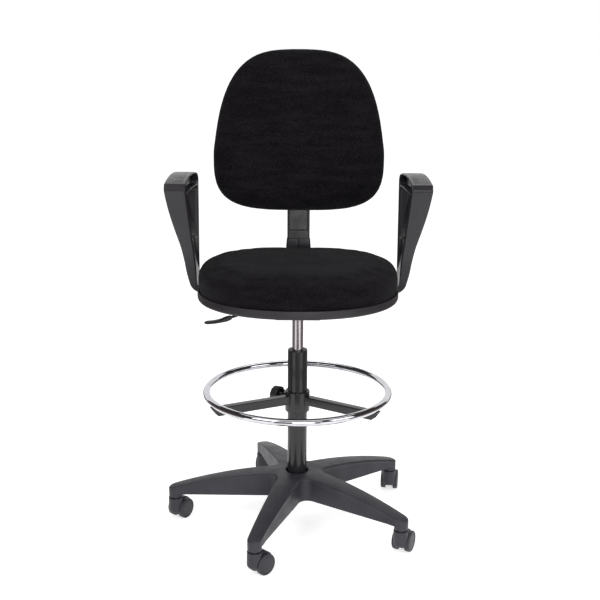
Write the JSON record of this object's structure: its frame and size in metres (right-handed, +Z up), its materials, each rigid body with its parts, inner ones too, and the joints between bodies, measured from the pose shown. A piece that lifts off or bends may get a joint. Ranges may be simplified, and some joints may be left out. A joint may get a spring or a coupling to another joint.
{
  "type": "drafting chair",
  "caption": "Tall drafting chair: padded seat and back, loop arms, gas lift, chromed foot ring and a star base on twin-wheel casters.",
  "frame": {"origin": "on the floor, under the axis of the column", "axes": "+Z up along the column, -Y the way the sitter faces, +X to the right in the picture"},
  "size_m": [0.6558, 0.6748, 1.2052],
  "materials": {
    "seat_fabric": "short woven pile, matt",
    "arm_plastic": "satin moulded",
    "shell_plastic": "fine grain",
    "base_plastic": "satin moulded",
    "wheel_plastic": "satin moulded",
    "chrome": "polished",
    "black_steel": "powder coat",
    "bright_steel": "zinc plated",
    "slide_plastic": "smooth",
    "plywood": "raw plywood",
    "rubber": "matt"
  },
  "bodies": {
    "base": {"five_star_base": "base_plastic", "column_tube": "black_steel", "guide_bush": "slide_plastic", "thrust_bearing": "bright_steel"},
    "lift_rod": {"piston_rod": "bright_steel", "rod_washers": "bright_steel", "rod_bumper": "rubber", "piston": "bright_steel"},
    "seat": {"gas_cylinder": "chrome", "rod_seal": "rubber", "taper_socket": "black_steel", "mechanism_box": "black_steel", "seat_shell": "shell_plastic", "seat_board": "plywood", "tee_nuts": "bright_steel", "seat_cushion": "seat_fabric", "seat_bolts": "bright_steel", "left_arm": "arm_plastic", "right_arm": "arm_plastic", "pivot_pins": "bright_steel", "tilt_bushes": "slide_plastic"},
    "gas_lever": {"lever_rod": "black_steel", "lever_paddle": "shell_plastic"},
    "valve_pin": {"valve_pin": "bright_steel"},
    "foot_ring": {"foot_ring_tube": "chrome", "ring_spokes": "black_steel", "ring_screws": "bright_steel", "ring_collar": "black_steel", "collar_sleeve": "slide_plastic", "clamp_nut": "black_steel"},
    "clamp_knob": {"clamp_knob": "shell_plastic"},
    "back_bar": {"back_bar": "black_steel", "lower_cover_left": "shell_plastic", "lower_cover_right": "shell_plastic"},
    "backrest": {"upper_cover": "shell_plastic", "back_slider": "slide_plastic", "back_shell": "shell_plastic", "back_board": "plywood", "back_screws": "bright_steel", "back_cushion": "seat_fabric"},
    "caster_1": {"caster_hood_1": "base_plastic", "caster_pins_1": "bright_steel"},
    "wheel_left_1": {"caster_wheel_left_1": "wheel_plastic"},
    "wheel_right_1": {"caster_wheel_right_1": "wheel_plastic"},
    "caster_2": {"caster_hood_2": "base_plastic", "caster_pins_2": "bright_steel"},
    "wheel_left_2": {"caster_wheel_left_2": "wheel_plastic"},
    "wheel_right_2": {"caster_wheel_right_2": "wheel_plastic"},
    "caster_3": {"caster_hood_3": "base_plastic", "caster_pins_3": "bright_steel"},
    "wheel_left_3": {"caster_wheel_left_3": "wheel_plastic"},
    "wheel_right_3": {"caster_wheel_right_3": "wheel_plastic"},
    "caster_4": {"caster_hood_4": "base_plastic", "caster_pins_4": "bright_steel"},
    "wheel_left_4": {"caster_wheel_left_4": "wheel_plastic"},
    "wheel_right_4": {"caster_wheel_right_4": "wheel_plastic"},
    "caster_5": {"caster_hood_5": "base_plastic", "caster_pins_5": "bright_steel"},
    "wheel_left_5": {"caster_wheel_left_5": "wheel_plastic"},
    "wheel_right_5": {"caster_wheel_right_5": "wheel_plastic"}
  },
  "joints": [
    {"name": "seat_swivel", "type": "hinge", "parent": "base", "child": "lift_rod", "pos_m": [0, 0, 0.08], "axis": [0, 0, 1], "continuous": true},
    {"name": "seat_height", "type": "slide", "parent": "lift_rod", "child": "seat", "axis": [0, 0, 1], "range_m": [-0.08, 0.115]},
    {"name": "gas_lever_lift", "type": "hinge", "parent": "seat", "child": "gas_lever", "pos_m": [-0.04, 0, 0.597], "axis": [0, 1, 0], "range_deg": [0, 5], "stiffness_Nm_per_rad": 6, "springref_deg": -2.86},
    {"name": "valve_press", "type": "slide", "parent": "seat", "child": "valve_pin", "axis": [0, 0, 1], "range_m": [-0.0037, 0.0002]},
    {"name": "foot_ring_height", "type": "slide", "parent": "base", "child": "foot_ring", "axis": [0, 0, 1], "range_m": [-0.14, 0.05]},
    {"name": "clamp_turn", "type": "hinge", "parent": "foot_ring", "child": "clamp_knob", "pos_m": [-0.05032, 0.03268, 0.3345], "axis": [-0.8387, 0.5446, 0], "range_deg": [-360, 0]},
    {"name": "back_tilt", "type": "hinge", "parent": "seat", "child": "back_bar", "pos_m": [0, 0.08, 0.575], "axis": [-1, 0, 0], "range_deg": [0, 12]},
    {"name": "back_height", "type": "slide", "parent": "back_bar", "child": "backrest", "axis": [0, 0.0872, 0.9962], "range_m": [0, 0.065]},
    {"name": "caster_swivel_1", "type": "hinge", "parent": "base", "child": "caster_1", "pos_m": [-0.318, 0, 0.06], "axis": [0, 0, 1], "continuous": true},
    {"name": "wheel_roll_left_1", "type": "hinge", "parent": "caster_1", "child": "wheel_left_1", "pos_m": [-0.30682, 0.01658, 0.0265], "axis": [0.829, -0.5592, 0], "continuous": true},
    {"name": "wheel_roll_right_1", "type": "hinge", "parent": "caster_1", "child": "wheel_right_1", "pos_m": [-0.30682, 0.01658, 0.0265], "axis": [0.829, -0.5592, 0], "continuous": true},
    {"name": "caster_swivel_2", "type": "hinge", "parent": "base", "child": "caster_2", "pos_m": [-0.09827, -0.30244, 0.06], "axis": [0, 0, 1], "continuous": true},
    {"name": "wheel_roll_left_2", "type": "hinge", "parent": "caster_2", "child": "wheel_left_2", "pos_m": [-0.08413, -0.28829, 0.0265], "axis": [0.7071, -0.7071, 0], "continuous": true},
    {"name": "wheel_roll_right_2", "type": "hinge", "parent": "caster_2", "child": "wheel_right_2", "pos_m": [-0.08413, -0.28829, 0.0265], "axis": [0.7071, -0.7071, 0], "continuous": true},
    {"name": "caster_swivel_3", "type": "hinge", "parent": "base", "child": "caster_3", "pos_m": [0.25727, -0.18692, 0.06], "axis": [0, 0, 1], "continuous": true},
    {"name": "wheel_roll_left_3", "type": "hinge", "parent": "caster_3", "child": "wheel_left_3", "pos_m": [0.26603, -0.16894, 0.0265], "axis": [0.8988, -0.4384, 0], "continuous": true},
    {"name": "wheel_roll_right_3", "type": "hinge", "parent": "caster_3", "child": "wheel_right_3", "pos_m": [0.26603, -0.16894, 0.0265], "axis": [0.8988, -0.4384, 0], "continuous": true},
    {"name": "caster_swivel_4", "type": "hinge", "parent": "base", "child": "caster_4", "pos_m": [0.25727, 0.18692, 0.06], "axis": [0, 0, 1], "continuous": true},
    {"name": "wheel_roll_left_4", "type": "hinge", "parent": "caster_4", "child": "wheel_left_4", "pos_m": [0.26074, 0.20661, 0.0265], "axis": [0.9848, -0.1736, 0], "continuous": true},
    {"name": "wheel_roll_right_4", "type": "hinge", "parent": "caster_4", "child": "wheel_right_4", "pos_m": [0.26074, 0.20661, 0.0265], "axis": [0.9848, -0.1736, 0], "continuous": true},
    {"name": "caster_swivel_5", "type": "hinge", "parent": "base", "child": "caster_5", "pos_m": [-0.09827, 0.30244, 0.06], "axis": [0, 0, 1], "continuous": true},
    {"name": "wheel_roll_left_5", "type": "hinge", "parent": "caster_5", "child": "wheel_left_5", "pos_m": [-0.09143, 0.32123, 0.0265], "axis": [0.9397, -0.342, 0], "continuous": true},
    {"name": "wheel_roll_right_5", "type": "hinge", "parent": "caster_5", "child": "wheel_right_5", "pos_m": [-0.09143, 0.32123, 0.0265], "axis": [0.9397, -0.342, 0], "continuous": true}
  ],
  "couplings": [
    {"joint": "valve_press", "follows": "gas_lever_lift", "m_per_rad": -0.04}
  ]
}
